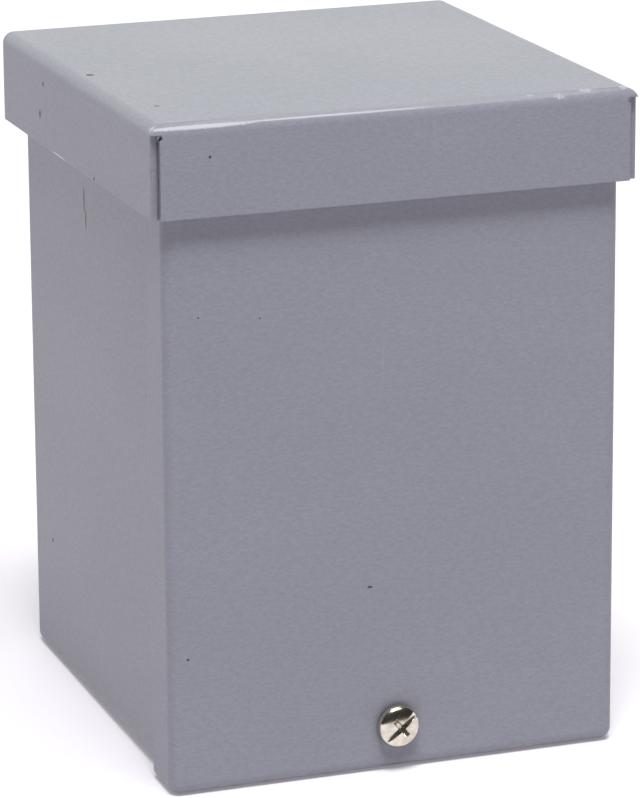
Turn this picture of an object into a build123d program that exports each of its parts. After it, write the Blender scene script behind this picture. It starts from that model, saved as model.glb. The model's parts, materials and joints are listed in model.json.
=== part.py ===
from build123d import *
import os

# Rain-tight air-conditioner disconnect box: a folded sheet-steel enclosure with a
# drip hood and a screwed cover, round a two-pole pull-out switch and a ground bar.
#
# Frame, in millimetres: X to the right of a person facing the cover, Y towards the wall,
# Z up. The origin is the centre of the bounding box, at its lowest level.

os.makedirs("parts", exist_ok=True)

# Sheet metal
sheet = 1.5               # thickness of every steel panel
bend = 2.6                # outside radius of every fold
edge_easing = 0.8         # most of the sheet's thickness that an eased edge may lose

# Enclosure
overall_height = 149.8
box_depth = 109.5         # cover face to wall
cover_flange = 12.7       # depth of the cover's folded edge
cover_tongue = 12.0       # part of the cover that hides behind the hood
tongue_end_gap = 3.0      # each end of the tongue to the body's side
hood_width = 110.5
hood_side_gap = 1.45      # hood's side flange to the cover's folded edge
hood_height = 20.4        # drop of the hood's flanges
hood_overhang = 2.8       # hood face ahead of the cover face
hood_slot = 0.3           # end of the hood's front flange to the side flange's inner face
hood_corner_height = 2.0  # closed top corner above that slot
hood_relief_diameter = 1.2  # bend relief at the top of the slot
top_flange = 10.0         # body's inward edge that the hood is welded to
lip_height = 18.0         # upturned front edge of the body's bottom
lip_end_gap = 3.0         # each end of the lip to the body's side
lip_relief = 0.6          # slit each side of the lip's fold
side_gap = 0.3            # cover flange to body side
bottom_gap = 0.5          # cover's bottom flange to body bottom
front_gap = 0.3           # cover's inner face to the body's front edges
pivot_gap = 0.2           # top of the cover's folded edge below the hood's edge

# Holes in the body
wall_hole_diameter = 6.4
wall_hole_spacing_x = 76.0
wall_hole_floor_gap = 22.0    # lower pair above the body's bottom
wall_hole_roof_gap = 16.3     # upper pair below the body's top
knockout_diameters = (22.2, 28.6)
knockout_spacing = 46.0
knockout_setback = 42.0   # centre behind the body's front edge
knockout_groove = 0.5
knockout_groove_depth = 0.8
drain_diameter = 3.2
drain_setback = 12.0
drain_side_gap = 10.5

# Cover screw, its washer and the nut on the lip
screw_diameter = 4.8
screw_length = 10.0       # under the head
screw_head_diameter = 9.5
screw_head_height = 3.0
screw_head_rim = 1.1      # straight edge of the head below its dome
screw_height = 10.4       # axis above the bottom of the cover
screw_recess_depth = 1.4
screw_slot_width = 1.2
screw_cross_length = 5.2  # recess arm across the slot
screw_slot_angle = 40     # slot's turn from level in the closed box
screw_point = 0.6         # chamfer of the screw's end
washer_diameter = 8.8
washer_thickness = 0.8
nut_width = 9.5
nut_thickness = 3.0
nut_corner = 0.95
swing_clearance = 0.5     # lets the seated screw leave the nut on the cover's arc
cover_hole_clearance = 0.3
thread_clearance = 0.05   # between a screw and the hole it turns in

# Switch base
base_width = 84.0
base_height = 88.0
base_depth = 44.0
base_floor_gap = 34.0     # wiring space below the base
base_corner = 4.0
base_edge = 1.2
base_screw_offset = 33.0  # each screw above or below the middle
base_screw_diameter = 4.2
base_screw_head = 8.0
base_screw_head_height = 2.6
base_screw_slot_depth = 1.3
base_screw_floor = 8.0    # moulding left under the screw head
base_screw_clearance = 0.2
strap_slot_lift = 1.0     # room over a strap where it passes under a wall
socket_side_margin = 2.5  # shallow recess that locates the pull head, past the jaw pockets
socket_end_margin = 1.0
socket_depth = 3.0
socket_corner = 3.0
pole_offset = 22.0        # each pole from the middle
jaw_offset = 13.0         # jaws above and below the middle
lug_offset = 33.0         # lugs above and below the middle
pocket_room = 2.0         # round a jaw's backing spring
strap_room = 0.5          # each side of a strap
lug_room = 1.0            # round a lug in its channel
mouth_chamfer = 0.6

# Conductors
strap_width = 12.0
strap_thickness = 1.6
strap_lead = 5.0          # strap beyond the middle of its jaw
strap_corner = 0.8
jaw_thickness = 1.0
jaw_width = 10.0
jaw_depth = 19.0
jaw_mouth_half = 2.9      # half openings along the middle of the sheet
jaw_base_half = 3.6
jaw_throat_setback = 4.0  # tightest place behind the mouth
jaw_fold = 0.8
jaw_spring_thickness = 0.6
jaw_spring_width = 7.0
jaw_spring_depth = 13.0
spring_clearance = 0.15
rivet_diameter = 2.4
rivet_head_diameter = 4.2
rivet_head_height = 0.6
rivet_clearance = 0.05
lug_width = 14.0
lug_height = 16.0
lug_depth = 18.0
lug_wall = 2.2            # behind the wire hole
lug_bore_diameter = 8.2
lug_screw_diameter = 7.6
lug_screw_length = 8.0
lug_screw_lift = 1.0      # stands proud of the lug when open
lug_screw_slot = 1.3
lug_screw_slot_depth = 1.6
lug_screw_edge = 0.5
lug_edge = 0.6

# Pull head and blades
head_rim = 2.0            # plate beyond the socket, all round
head_plate = 8.0
head_corner = 5.0
head_edge = 1.5
head_clearance = 0.3      # boss to socket, all round and behind
grip_width = 46.0
grip_reach = 18.0         # bar's face ahead of the plate
grip_height = 12.0
grip_bar = 7.0            # bar's front-to-back size
grip_post = 7.0
grip_edge = 2.4
grip_panel_margin = 5.0   # shallow panels above and below the grip, inside the plate's edge
grip_panel_depth = 1.0
blade_thickness = 2.0
blade_width = 9.0
blade_length = 24.0       # legs behind the boss
blade_clearance = 0.1     # each side, blade to jaw
blade_tip_room = 4.6      # beyond the blades' tips, to the back of the straps
blade_fold = 2.4
blade_tip_chamfer = 0.6
blade_groove_clearance = 0.15
blade_screw_diameter = 3.0
blade_screw_head = 5.6
blade_screw_length = 7.0
blade_screw_slot = 0.6
blade_screw_slot_depth = 0.7

# Line shield
shield_thickness = 1.5
shield_edge = 0.5
shield_margin = 2.0       # inside the edge of the base
shield_gap = 0.8          # above the pull head
shield_leg = 8.0
shield_leg_thickness = 1.6
shield_leg_width = 10.0
shield_leg_inset = 5.5    # each leg from the side of the base
shield_fit = 0.1
shield_access_diameter = 9.0

# Ground bar
bar_length = 36.0
bar_height = 9.0
bar_depth = 9.0
bar_floor_gap = 13.5      # under the bar
bar_wire_spacing = 24.0
bar_wire_diameter = 5.0
bar_wire_wall = 1.6
bar_screw_diameter = 4.6
bar_screw_length = 4.0
bar_screw_head = 7.4
bar_screw_head_height = 2.2
bar_screw_slot_depth = 1.1
bar_screw_edge = 0.7
bond_screw_diameter = 4.2
bond_screw_head = 8.6
bond_screw_head_height = 2.4
bond_screw_slot_depth = 1.2
bond_screw_edge = 0.4

# Room for the cutting and picking of faces
overcut = 1.0             # how far a cut starts or ends outside the metal
pick_room = 0.01          # slack in choosing edges by their place

# Levels and planes worked out from the sizes above
overall_depth = screw_head_height + washer_thickness + box_depth
wall_y = overall_depth / 2
cover_y = wall_y - box_depth
hood_y = cover_y - hood_overhang
hood_edge_z = overall_height - hood_height
cover_width = hood_width - 2 * (sheet + hood_side_gap)
ceiling_z = overall_height - sheet
inner_bend = bend - sheet
eased_edge = min(inner_bend, edge_easing * sheet)
body_front = cover_y + sheet + front_gap
body_bottom = sheet + bottom_gap
body_width = cover_width - 2 * (sheet + side_gap)
back_inner = wall_y - sheet
base_front = back_inner - base_depth
socket_floor = base_front + socket_depth
boss_back = socket_floor - head_clearance
blade_tip = boss_back + blade_length
strap_back = blade_tip + blade_tip_room
strap_front = strap_back - strap_thickness
lug_front = strap_front - lug_depth
lug_bore_y = strap_front - lug_wall - lug_bore_diameter / 2
base_center_z = body_bottom + base_floor_gap + base_height / 2
bar_center_z = body_bottom + bar_floor_gap + bar_height / 2
body_inner_width = body_width - 2 * sheet
lip_width = body_inner_width - 2 * lip_end_gap

# Jaw and spring outlines, along the middle of each strip
jaw_seat = strap_front - jaw_spring_thickness
jaw_mouth_y = jaw_seat - jaw_depth
jaw_throat_y = jaw_mouth_y + jaw_throat_setback
jaw_floor_y = jaw_seat - jaw_thickness / 2
throat_half = blade_thickness / 2 + blade_clearance + jaw_thickness / 2
lean = (jaw_base_half - throat_half) / (jaw_floor_y - jaw_throat_y)
spring_step = (jaw_thickness + jaw_spring_thickness) / 2 + spring_clearance
spring_mouth_y = jaw_seat - jaw_spring_depth
spring_floor_y = jaw_seat + jaw_spring_thickness / 2
spring_mouth_half = throat_half + spring_step + lean * (spring_mouth_y - jaw_throat_y)
spring_base_half = jaw_base_half + spring_step + lean * jaw_thickness

# Openings in the switch base, and what fits over them
jaw_pocket_width = strap_width + 2 * strap_room
jaw_pocket_height = 2 * (spring_base_half + jaw_spring_thickness / 2 + pocket_room)
lug_channel_width = lug_width + 2 * lug_room
lug_channel_start = lug_offset - lug_height / 2 - lug_room
socket_width = 2 * (pole_offset + jaw_pocket_width / 2 + socket_side_margin)
socket_height = 2 * (jaw_offset + jaw_pocket_height / 2 + socket_end_margin)
head_width = socket_width + 2 * head_rim
head_height = socket_height + 2 * head_rim
shield_low_z = base_center_z + head_height / 2 + shield_gap
shield_high_z = base_center_z + base_height / 2 - shield_margin
shield_leg_offset = base_width / 2 - shield_leg_inset
pole_places = {"left": -pole_offset, "right": pole_offset}
end_places = {"line": 1, "load": -1}


def turned(radius, length, front_y, center_x, center_z):
    """Adds a round bar along Y, from front_y towards the wall."""
    with BuildSketch(Plane.XZ.offset(-front_y)) as profile:
        with Locations((center_x, center_z)):
            Circle(radius)
    extrude(profile.sketch, amount=-length)


def bored(radius, length, front_y, center_x, center_z):
    """Cuts a round hole along Y, from front_y towards the wall."""
    with BuildSketch(Plane.XZ.offset(-front_y)) as profile:
        with Locations((center_x, center_z)):
            Circle(radius)
    extrude(profile.sketch, amount=-length, mode=Mode.SUBTRACT)


def block(width, height, front_y, back_y, center_x, center_z, mode=Mode.ADD):
    """Adds or cuts a plain block between two levels of Y."""
    with BuildSketch(Plane.XZ.offset(-front_y)) as profile:
        with Locations((center_x, center_z)):
            Rectangle(width, height)
    extrude(profile.sketch, amount=front_y - back_y, mode=mode)


def folded_strip(points, radius, thickness, width, center_x):
    """Adds a strip of sheet that follows points in the YZ plane, with rounded folds."""
    with BuildSketch(Plane.YZ.offset(center_x)) as profile:
        with BuildLine():
            FilletPolyline(*points, radius=radius)
        trace(line_width=thickness)
    extrude(profile.sketch, amount=width / 2, both=True)


def countersunk(radius, head_radius, length, back_y, center_x, center_z, mode=Mode.ADD):
    """Adds or cuts a flat-headed screw along Y, with its head flush at back_y."""
    with BuildSketch(Plane.YZ.offset(center_x)) as profile:
        with BuildLine():
            Polyline((back_y, center_z), (back_y, center_z + head_radius),
                     (back_y - head_radius + radius, center_z + radius),
                     (back_y - length, center_z + radius), (back_y - length, center_z), close=True)
        make_face()
    revolve(profile.sketch, axis=Axis((center_x, 0, center_z), (0, 1, 0)), mode=mode)


# Sheet-metal enclosure
with BuildPart() as enclosure_body:
    body_height = ceiling_z - body_bottom
    with BuildSketch(Plane.XZ.offset(-wall_y)):
        with Locations((0, body_bottom + body_height / 2)):
            RectangleRounded(body_width, body_height, bend)
    extrude(amount=wall_y - body_front)
    fillet(enclosure_body.faces().sort_by(Axis.Y)[-1].edges(), bend)
    offset(amount=-sheet, openings=enclosure_body.faces().sort_by(Axis.Y)[0])
    # the front edges are eased to sit inside the cover's folds
    fillet(enclosure_body.faces().sort_by(Axis.Y)[0].outer_wire().edges(), eased_edge)
    # the roof is open inside the flange that carries the hood
    roof_front = body_front - overcut
    roof_back = back_inner - top_flange
    block(body_width - 2 * top_flange, 2 * (sheet + overcut), roof_front, roof_back, 0, ceiling_z,
          Mode.SUBTRACT)
    # upturned front lip
    block(lip_width + 2 * lip_relief, 2 * bend, body_front - overcut, body_front + bend, 0,
          body_bottom, Mode.SUBTRACT)
    folded_strip([(body_front + bend + lip_relief, body_bottom + sheet / 2),
                  (body_front + sheet / 2, body_bottom + sheet / 2),
                  (body_front + sheet / 2, body_bottom + lip_height)],
                 bend - sheet / 2, sheet, lip_width, 0)
    bored(screw_diameter / 2 + swing_clearance, sheet + 2 * overcut, body_front - overcut, 0,
          screw_height)
    # wall holes, and tapped holes for the base and the ground bar
    wall_hole_low_z = body_bottom + wall_hole_floor_gap
    wall_hole_high_z = ceiling_z - wall_hole_roof_gap
    with BuildSketch(Plane.XZ.offset(-wall_y)):
        with Locations((0, (wall_hole_low_z + wall_hole_high_z) / 2)):
            with GridLocations(wall_hole_spacing_x, wall_hole_high_z - wall_hole_low_z, 2, 2):
                Circle(wall_hole_diameter / 2)
        with Locations((0, base_center_z + base_screw_offset),
                       (0, base_center_z - base_screw_offset)):
            Circle(base_screw_diameter / 2 + thread_clearance)
        with Locations((0, bar_center_z)):
            Circle(bond_screw_diameter / 2 + thread_clearance)
    extrude(amount=sheet + overcut, mode=Mode.SUBTRACT)
    # concentric knockouts scored into the bottom, and drain holes
    knockout_y = body_front + knockout_setback
    with BuildSketch(Plane.XY.offset(body_bottom)):
        with Locations((0, knockout_y)):
            with GridLocations(knockout_spacing, 1, 2, 1):
                for diameter in knockout_diameters:
                    Circle(diameter / 2 + knockout_groove / 2)
                    Circle(diameter / 2 - knockout_groove / 2, mode=Mode.SUBTRACT)
    extrude(amount=knockout_groove_depth, mode=Mode.SUBTRACT)
    with BuildSketch(Plane.XY.offset(body_bottom)):
        with Locations((0, body_front + drain_setback)):
            with GridLocations(body_inner_width - 2 * drain_side_gap, 1, 2, 1):
                Circle(drain_diameter / 2)
    extrude(amount=sheet + overcut, mode=Mode.SUBTRACT)
enclosure_body.part.label = "enclosure_body"
export_step(enclosure_body.part, "parts/enclosure_body.step")

with BuildPart() as drip_hood:
    with BuildSketch(Plane.XZ.offset(-hood_y)):
        with Locations((0, overall_height - hood_height / 2)):
            Rectangle(hood_width, hood_height)
    extrude(amount=hood_y - wall_y)
    top_edges = drip_hood.faces().sort_by(Axis.Z)[-1].edges()
    fillet(top_edges.sort_by(Axis.Y)[:-1], bend)
    offset(amount=-sheet, openings=[drip_hood.faces().sort_by(Axis.Y)[-1],
                                    drip_hood.faces().sort_by(Axis.Z)[0]])
    # open corners: each side flange ends behind the front flange, which ends inside it
    slot_top = overall_height - hood_corner_height
    slot_height = slot_top + overcut - hood_edge_z
    relief_radius = hood_relief_diameter / 2
    for side in (-1, 1):
        block(2 * (sheet + hood_slot), slot_height, hood_y - overcut, hood_y + sheet,
              side * hood_width / 2, slot_top - slot_height / 2, Mode.SUBTRACT)
        bored(relief_radius, sheet + overcut, hood_y - overcut,
              side * (hood_width / 2 - sheet - hood_slot), slot_top - relief_radius)
drip_hood.part.label = "drip_hood"
export_step(drip_hood.part, "parts/drip_hood.step")

with BuildPart() as front_cover:
    cover_height = hood_edge_z - pivot_gap
    tongue_top = hood_edge_z + cover_tongue
    with BuildSketch(Plane.XZ.offset(-cover_y)):
        with Locations((0, cover_height / 2)):
            Rectangle(cover_width, cover_height)
    extrude(amount=-cover_flange)
    fillet(front_cover.edges().filter_by(Axis.Y).group_by(Axis.Z)[0], bend)
    front_edges = front_cover.faces().sort_by(Axis.Y)[0].edges()
    fillet([edge for edge in front_edges if edge.center().Z < cover_height - bend / 2], bend)
    offset(amount=-sheet, openings=[front_cover.faces().sort_by(Axis.Y)[-1],
                                    front_cover.faces().sort_by(Axis.Z)[-1]])
    with BuildSketch(Plane.XZ.offset(-cover_y)):
        with Locations((0, tongue_top - cover_tongue)):
            RectangleRounded(body_inner_width - 2 * tongue_end_gap, 2 * cover_tongue, bend)
    extrude(amount=-sheet)
    bored(screw_diameter / 2 + cover_hole_clearance, sheet + 2 * overcut, cover_y - overcut, 0,
          screw_height)
front_cover.part.label = "front_cover"
export_step(front_cover.part, "parts/front_cover.step")

with BuildPart() as lip_nut:
    nut_front = body_front + sheet
    with BuildSketch(Plane.XZ.offset(-nut_front)):
        with Locations((0, screw_height)):
            Rectangle(nut_width, nut_width)
            Circle(screw_diameter / 2 + swing_clearance, mode=Mode.SUBTRACT)
    extrude(amount=-nut_thickness)
    chamfer(lip_nut.edges().filter_by(Axis.Y).group_by(SortBy.LENGTH)[0], nut_corner)
lip_nut.part.label = "lip_nut"
export_step(lip_nut.part, "parts/lip_nut.step")

with BuildPart() as seal_washer:
    with BuildSketch(Plane.XZ.offset(-cover_y)):
        with Locations((0, screw_height)):
            Circle(washer_diameter / 2)
            Circle(screw_diameter / 2 + thread_clearance, mode=Mode.SUBTRACT)
    extrude(amount=washer_thickness)
seal_washer.part.label = "seal_washer"
export_step(seal_washer.part, "parts/seal_washer.step")

with BuildPart() as cover_screw:
    head_back = cover_y - washer_thickness
    head_front = head_back - screw_head_height
    with BuildSketch(Plane.YZ):
        with BuildLine():
            Polyline((head_front, screw_height), (head_back, screw_height),
                     (head_back, screw_height + screw_head_diameter / 2),
                     (head_back - screw_head_rim, screw_height + screw_head_diameter / 2))
            EllipticalCenterArc((head_back - screw_head_rim, screw_height),
                                screw_head_height - screw_head_rim, screw_head_diameter / 2,
                                start_angle=90, arc_size=90)
        make_face()
    revolve(axis=Axis((0, 0, screw_height), (0, 1, 0)))
    turned(screw_diameter / 2, screw_length, head_back, 0, screw_height)
    chamfer(cover_screw.edges().filter_by(GeomType.CIRCLE).sort_by(Axis.Y)[-1], screw_point)
    with BuildSketch(Plane.XZ.offset(-head_front)):
        with Locations((0, screw_height)):
            Rectangle(screw_head_diameter, screw_slot_width, rotation=screw_slot_angle)
            Rectangle(screw_slot_width, screw_cross_length, rotation=screw_slot_angle)
    extrude(amount=-screw_recess_depth, mode=Mode.SUBTRACT)
cover_screw.part.label = "cover_screw"
export_step(cover_screw.part, "parts/cover_screw.step")

# Switch base
with BuildPart() as switch_base:
    with BuildSketch(Plane.XZ.offset(-back_inner)):
        with Locations((0, base_center_z)):
            RectangleRounded(base_width, base_height, base_corner)
    extrude(amount=base_depth)
    fillet(switch_base.faces().sort_by(Axis.Y)[0].edges(), base_edge)
    with BuildSketch(Plane.XZ.offset(-base_front)):
        with Locations((0, base_center_z)):
            RectangleRounded(socket_width, socket_height, socket_corner)
    extrude(amount=-socket_depth, mode=Mode.SUBTRACT)
    channel_length = base_height / 2 + overcut - lug_channel_start
    for up in end_places.values():
        for pole_x in pole_places.values():
            block(jaw_pocket_width, jaw_pocket_height, base_front - overcut, strap_back, pole_x,
                  base_center_z + up * jaw_offset, Mode.SUBTRACT)
            block(lug_channel_width, channel_length, base_front - overcut, strap_back, pole_x,
                  base_center_z + up * (lug_channel_start + channel_length / 2), Mode.SUBTRACT)
            # slot under the wall between the jaw pocket and the lug channel
            block(jaw_pocket_width, lug_offset - jaw_offset, strap_front - strap_slot_lift, strap_back,
                  pole_x, base_center_z + up * (lug_offset + jaw_offset) / 2, Mode.SUBTRACT)
    # eased mouths, so that the blades find the jaws
    mouth_half_width = pole_offset + jaw_pocket_width / 2 + pick_room
    mouth_half_height = jaw_offset + jaw_pocket_height / 2 + pick_room
    socket_edges = switch_base.edges().filter_by_position(Axis.Y, socket_floor - pick_room,
                                                          socket_floor + pick_room)
    chamfer(socket_edges.filter_by(lambda edge: abs(edge.center().X) < mouth_half_width
                                   and abs(edge.center().Z - base_center_z) < mouth_half_height),
            mouth_chamfer)
    shield_z = (shield_low_z + shield_high_z) / 2
    for up in end_places.values():
        screw_z = base_center_z + up * base_screw_offset
        bored(base_screw_head / 2 + base_screw_clearance, base_depth - base_screw_floor + overcut,
              base_front - overcut, 0, screw_z)
        bored(base_screw_diameter / 2 + base_screw_clearance, base_depth + 2 * overcut,
              base_front - overcut, 0, screw_z)
    # sockets for the shield's legs
    for side in (-1, 1):
        block(shield_leg_thickness + 2 * shield_fit, shield_leg_width + 2 * shield_fit,
              base_front - overcut, base_front + shield_leg + shield_fit,
              side * shield_leg_offset, shield_z, Mode.SUBTRACT)
switch_base.part.label = "switch_base"
export_step(switch_base.part, "parts/switch_base.step")

with BuildPart() as base_screws:
    screw_head_back = back_inner - base_screw_floor
    for up in end_places.values():
        screw_z = base_center_z + up * base_screw_offset
        turned(base_screw_head / 2, base_screw_head_height, screw_head_back - base_screw_head_height,
               0, screw_z)
        turned(base_screw_diameter / 2, base_screw_floor + sheet, screw_head_back, 0, screw_z)
        block(base_screw_head, screw_slot_width, screw_head_back - base_screw_head_height,
              screw_head_back - base_screw_head_height + base_screw_slot_depth, 0, screw_z, Mode.SUBTRACT)
base_screws.part.label = "base_screws"
export_step(base_screws.part, "parts/base_screws.step")

# Jaws, straps and lugs
for end, up in end_places.items():
    jaw_z = base_center_z + up * jaw_offset
    lug_z = base_center_z + up * lug_offset
    for pole, pole_x in pole_places.items():
        with BuildPart() as strap:
            strap_start = jaw_offset - strap_lead
            strap_end = lug_offset + lug_height / 2
            block(strap_width, strap_end - strap_start, strap_front, strap_back, pole_x,
                  base_center_z + up * (strap_start + strap_end) / 2)
            fillet(strap.edges().filter_by(Axis.Y), strap_corner)
            bored(rivet_diameter / 2 + rivet_clearance, strap_thickness, strap_front, pole_x, jaw_z)
        strap.part.label = f"{end}_strap_{pole}"
        export_step(strap.part, f"parts/{end}_strap_{pole}.step")

        # U-shaped jaw: the leaves lean in to a throat and flare out again at the mouth
        with BuildPart() as jaw:
            upper = [(jaw_mouth_y, jaw_z + jaw_mouth_half), (jaw_throat_y, jaw_z + throat_half),
                     (jaw_floor_y, jaw_z + jaw_base_half)]
            lower = [(y, 2 * jaw_z - z) for y, z in reversed(upper)]
            folded_strip(upper + lower, jaw_fold, jaw_thickness, jaw_width, pole_x)
            bored(rivet_diameter / 2 + rivet_clearance, jaw_thickness, jaw_seat - jaw_thickness,
                  pole_x, jaw_z)
        jaw.part.label = f"{end}_jaw_{pole}"
        export_step(jaw.part, f"parts/{end}_jaw_{pole}.step")

        # steel backing spring that wraps the jaw from behind and presses the leaves together
        with BuildPart() as jaw_spring:
            upper = [(spring_mouth_y, jaw_z + spring_mouth_half),
                     (spring_floor_y, jaw_z + spring_base_half)]
            lower = [(y, 2 * jaw_z - z) for y, z in reversed(upper)]
            folded_strip(upper + lower, jaw_fold, jaw_spring_thickness, jaw_spring_width, pole_x)
            bored(rivet_diameter / 2 + rivet_clearance, jaw_spring_thickness, jaw_seat, pole_x, jaw_z)
        jaw_spring.part.label = f"{end}_spring_{pole}"
        export_step(jaw_spring.part, f"parts/{end}_spring_{pole}.step")

        # box lug with its wire hole along Z and its screw hole from the front
        with BuildPart() as lug:
            block(lug_width, lug_height, lug_front, strap_front, pole_x, lug_z)
            fillet(lug.edges().filter_by(Axis.Z), lug_edge)
            with BuildSketch(Plane.XY.offset(lug_z - lug_height / 2)):
                with Locations((pole_x, lug_bore_y)):
                    Circle(lug_bore_diameter / 2)
            extrude(amount=lug_height, mode=Mode.SUBTRACT)
            bored(lug_screw_diameter / 2 + thread_clearance, lug_bore_y - lug_front, lug_front,
                  pole_x, lug_z)
        lug.part.label = f"{end}_lug_{pole}"
        export_step(lug.part, f"parts/{end}_lug_{pole}.step")

        with BuildPart() as lug_screw:
            tip_front = lug_front - lug_screw_lift
            turned(lug_screw_diameter / 2, lug_screw_length, tip_front, pole_x, lug_z)
            chamfer(lug_screw.edges().filter_by(GeomType.CIRCLE), lug_screw_edge)
            block(lug_screw_diameter, lug_screw_slot, tip_front, tip_front + lug_screw_slot_depth,
                  pole_x, lug_z, Mode.SUBTRACT)
        lug_screw.part.label = f"{end}_lug_screw_{pole}"
        export_step(lug_screw.part, f"parts/{end}_lug_screw_{pole}.step")

with BuildPart() as jaw_rivets:
    rivet_front = jaw_seat - jaw_thickness - rivet_head_height
    for up in end_places.values():
        for pole_x in pole_places.values():
            jaw_z = base_center_z + up * jaw_offset
            turned(rivet_head_diameter / 2, rivet_head_height, rivet_front, pole_x, jaw_z)
            turned(rivet_diameter / 2, strap_back - rivet_front, rivet_front, pole_x, jaw_z)
jaw_rivets.part.label = "jaw_rivets"
export_step(jaw_rivets.part, "parts/jaw_rivets.step")

# Pull head and blades
with BuildPart() as pull_head:
    plate_front = base_front - head_plate
    with BuildSketch(Plane.XZ.offset(-base_front)):
        with Locations((0, base_center_z)):
            RectangleRounded(head_width, head_height, head_corner)
    extrude(amount=head_plate)
    fillet(pull_head.faces().sort_by(Axis.Y)[0].edges(), head_edge)
    with BuildSketch(Plane.XZ.offset(-base_front)):
        with Locations((0, base_center_z)):
            RectangleRounded(socket_width - 2 * head_clearance, socket_height - 2 * head_clearance,
                             socket_corner)
    extrude(amount=-(boss_back - base_front))
    panel_height = (head_height - grip_height) / 2 - 2 * grip_panel_margin
    with BuildSketch(Plane.XZ.offset(-plate_front)):
        with Locations((0, base_center_z)):
            with GridLocations(1, head_height - panel_height - 2 * grip_panel_margin, 1, 2):
                RectangleRounded(head_width - 2 * grip_panel_margin, panel_height, panel_height / 4)
    extrude(amount=-grip_panel_depth, mode=Mode.SUBTRACT)
    # grip: a rounded bar on two posts, with room for fingers behind it
    with BuildSketch(Plane.XY.offset(base_center_z - grip_height / 2)):
        with Locations((0, plate_front - grip_reach / 2)):
            Rectangle(grip_width, grip_reach)
        with Locations((0, plate_front - (grip_reach - grip_bar) / 2)):
            Rectangle(grip_width - 2 * grip_post, grip_reach - grip_bar, mode=Mode.SUBTRACT)
    extrude(amount=grip_height)
    grip_edges = pull_head.edges().filter_by(lambda edge: edge.center().Y < plate_front - pick_room)
    fillet(grip_edges.filter_by(Axis.Z), grip_edge)
    # grooves that hold the blades' webs, and the screws' holes
    for pole_x in pole_places.values():
        block(blade_width + 2 * blade_groove_clearance, 2 * jaw_offset + blade_thickness
              + 2 * blade_groove_clearance, boss_back - blade_thickness, boss_back + overcut, pole_x,
              base_center_z, Mode.SUBTRACT)
        bored(blade_screw_diameter / 2 + thread_clearance, blade_screw_length - blade_thickness,
              boss_back - blade_screw_length, pole_x, base_center_z)
pull_head.part.label = "pull_head"
export_step(pull_head.part, "parts/pull_head.step")

for pole, pole_x in pole_places.items():
    with BuildPart() as blade:
        web_y = boss_back - blade_thickness / 2
        folded_strip([(blade_tip, base_center_z + jaw_offset),
                      (web_y, base_center_z + jaw_offset),
                      (web_y, base_center_z - jaw_offset),
                      (blade_tip, base_center_z - jaw_offset)],
                     blade_fold, blade_thickness, blade_width, pole_x)
        chamfer(blade.faces().sort_by(Axis.Y)[-1].edges().filter_by(Axis.X)
                + blade.faces().sort_by(Axis.Y)[-2].edges().filter_by(Axis.X), blade_tip_chamfer)
        countersunk(blade_screw_diameter / 2 + thread_clearance, blade_screw_head / 2 + thread_clearance,
                    2 * blade_thickness, boss_back, pole_x, base_center_z, Mode.SUBTRACT)
    blade.part.label = f"blade_{pole}"
    export_step(blade.part, f"parts/blade_{pole}.step")

with BuildPart() as blade_screws:
    for pole_x in pole_places.values():
        countersunk(blade_screw_diameter / 2, blade_screw_head / 2, blade_screw_length, boss_back,
                    pole_x, base_center_z)
        block(blade_screw_head, blade_screw_slot, boss_back - blade_screw_slot_depth, boss_back,
              pole_x, base_center_z, Mode.SUBTRACT)
blade_screws.part.label = "blade_screws"
export_step(blade_screws.part, "parts/blade_screws.step")

# Shield over the line lugs
with BuildPart() as line_shield:
    with BuildSketch(Plane.XZ.offset(-base_front)):
        with Locations((0, shield_z)):
            RectangleRounded(base_width - 2 * shield_margin, shield_high_z - shield_low_z, socket_corner)
        with Locations((0, base_center_z + lug_offset)):
            with GridLocations(2 * pole_offset, 1, 2, 1):
                Circle(shield_access_diameter / 2, mode=Mode.SUBTRACT)
        with Locations((0, base_center_z + base_screw_offset)):
            Circle(base_screw_head / 2 + base_screw_clearance, mode=Mode.SUBTRACT)
    extrude(amount=shield_thickness)
    fillet(line_shield.faces().sort_by(Axis.Y)[0].outer_wire().edges(), shield_edge)
    for side in (-1, 1):
        block(shield_leg_thickness, shield_leg_width, base_front, base_front + shield_leg,
              side * shield_leg_offset, shield_z)
line_shield.part.label = "line_shield"
export_step(line_shield.part, "parts/line_shield.step")

# Ground bar
bar_front = back_inner - bar_depth
bar_bore_y = back_inner - bar_wire_wall - bar_wire_diameter / 2
bar_places = {"left": -bar_wire_spacing / 2, "right": bar_wire_spacing / 2}
with BuildPart() as ground_bar:
    block(bar_length, bar_height, bar_front, back_inner, 0, bar_center_z)
    fillet(ground_bar.edges().filter_by(Axis.X).group_by(Axis.Y)[0], lug_edge)
    with BuildSketch(Plane.XY.offset(bar_center_z - bar_height / 2)):
        with Locations((0, bar_bore_y)):
            with GridLocations(bar_wire_spacing, 1, 2, 1):
                Circle(bar_wire_diameter / 2)
    extrude(amount=bar_height, mode=Mode.SUBTRACT)
    for bar_x in bar_places.values():
        bored(bar_screw_diameter / 2 + thread_clearance, bar_bore_y - bar_front, bar_front, bar_x,
              bar_center_z)
    bored(bond_screw_diameter / 2 + thread_clearance, bar_depth, bar_front, 0, bar_center_z)
ground_bar.part.label = "ground_bar"
export_step(ground_bar.part, "parts/ground_bar.step")

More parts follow.
